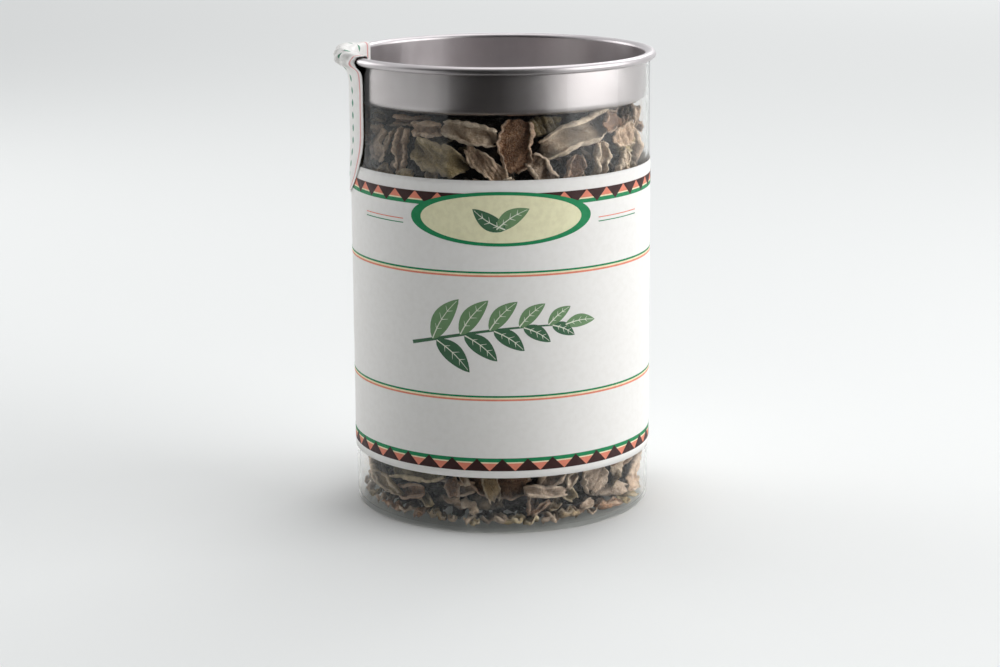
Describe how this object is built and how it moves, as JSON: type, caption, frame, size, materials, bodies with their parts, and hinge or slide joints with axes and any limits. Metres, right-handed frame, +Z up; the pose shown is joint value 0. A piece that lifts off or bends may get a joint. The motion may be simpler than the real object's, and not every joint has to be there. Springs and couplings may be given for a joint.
{
  "type": "jar of dried sage leaves",
  "caption": "Clear cylindrical jar with a pressed tinplate plug lid, a wrapped paper label and a paper tamper seal, filled with loose dried sage leaves",
  "frame": {"origin": "middle of the jar's flat base, on the surface that it stands on", "axes": "+Z up along the jar's axis; the front of the label faces -Y; the tamper seal is on the -X side and the label's seam at +Y"},
  "size_m": [0.0808, 0.078, 0.116],
  "materials": {
    "clear_plastic": "clear, smooth and glossy",
    "tinplate": "satin tinplate, drawn smooth, brighter on the rolled bead",
    "label_paper": "smooth white label paper with a printed border",
    "seal_paper": "thin white paper with two thin printed lines along each edge",
    "leaf_beige": "dry felted leaf, matt, beige",
    "leaf_olive": "dry felted leaf, matt, olive grey",
    "leaf_pale": "dry felted leaf, matt, pale",
    "leaf_dark_olive": "dry felted leaf, matt, dark olive",
    "leaf_brown": "dry felted leaf, matt, brown",
    "leaf_grey": "dry felted leaf, matt, grey green"
  },
  "bodies": {
    "root": {"jar_body": "clear_plastic", "lid": "tinplate", "label": "label_paper", "seal_strip": "seal_paper", "leaf_01": "leaf_grey", "leaf_02": "leaf_beige", "leaf_03": "leaf_beige", "leaf_04": "leaf_pale", "leaf_05": "leaf_olive", "leaf_06": "leaf_beige", "leaf_07": "leaf_brown", "leaf_08": "leaf_olive", "leaf_09": "leaf_pale", "leaf_10": "leaf_grey", "leaf_11": "leaf_brown", "leaf_12": "leaf_pale", "leaf_13": "leaf_beige", "leaf_14": "leaf_pale", "leaf_15": "leaf_pale", "leaf_16": "leaf_dark_olive", "leaf_17": "leaf_beige", "leaf_18": "leaf_dark_olive", "leaf_19": "leaf_pale", "leaf_20": "leaf_grey", "leaf_21": "leaf_pale", "leaf_22": "leaf_pale", "leaf_23": "leaf_olive", "leaf_24": "leaf_olive", "leaf_25": "leaf_grey", "leaf_26": "leaf_pale", "leaf_27": "leaf_grey", "leaf_28": "leaf_brown", "leaf_29": "leaf_grey", "leaf_30": "leaf_dark_olive", "leaf_31": "leaf_pale", "leaf_32": "leaf_dark_olive", "leaf_33": "leaf_beige", "leaf_34": "leaf_olive", "leaf_35": "leaf_pale", "leaf_36": "leaf_dark_olive", "leaf_37": "leaf_dark_olive", "leaf_38": "leaf_grey", "leaf_39": "leaf_olive", "leaf_40": "leaf_olive", "leaf_41": "leaf_olive", "leaf_42": "leaf_brown", "leaf_43": "leaf_beige", "leaf_44": "leaf_brown", "leaf_45": "leaf_brown", "leaf_46": "leaf_dark_olive", "leaf_47": "leaf_brown", "leaf_48": "leaf_pale", "leaf_49": "leaf_pale", "leaf_50": "leaf_beige", "leaf_51": "leaf_grey", "leaf_52": "leaf_grey", "leaf_53": "leaf_brown", "leaf_54": "leaf_olive", "leaf_55": "leaf_brown"}
  },
  "joints": []
}
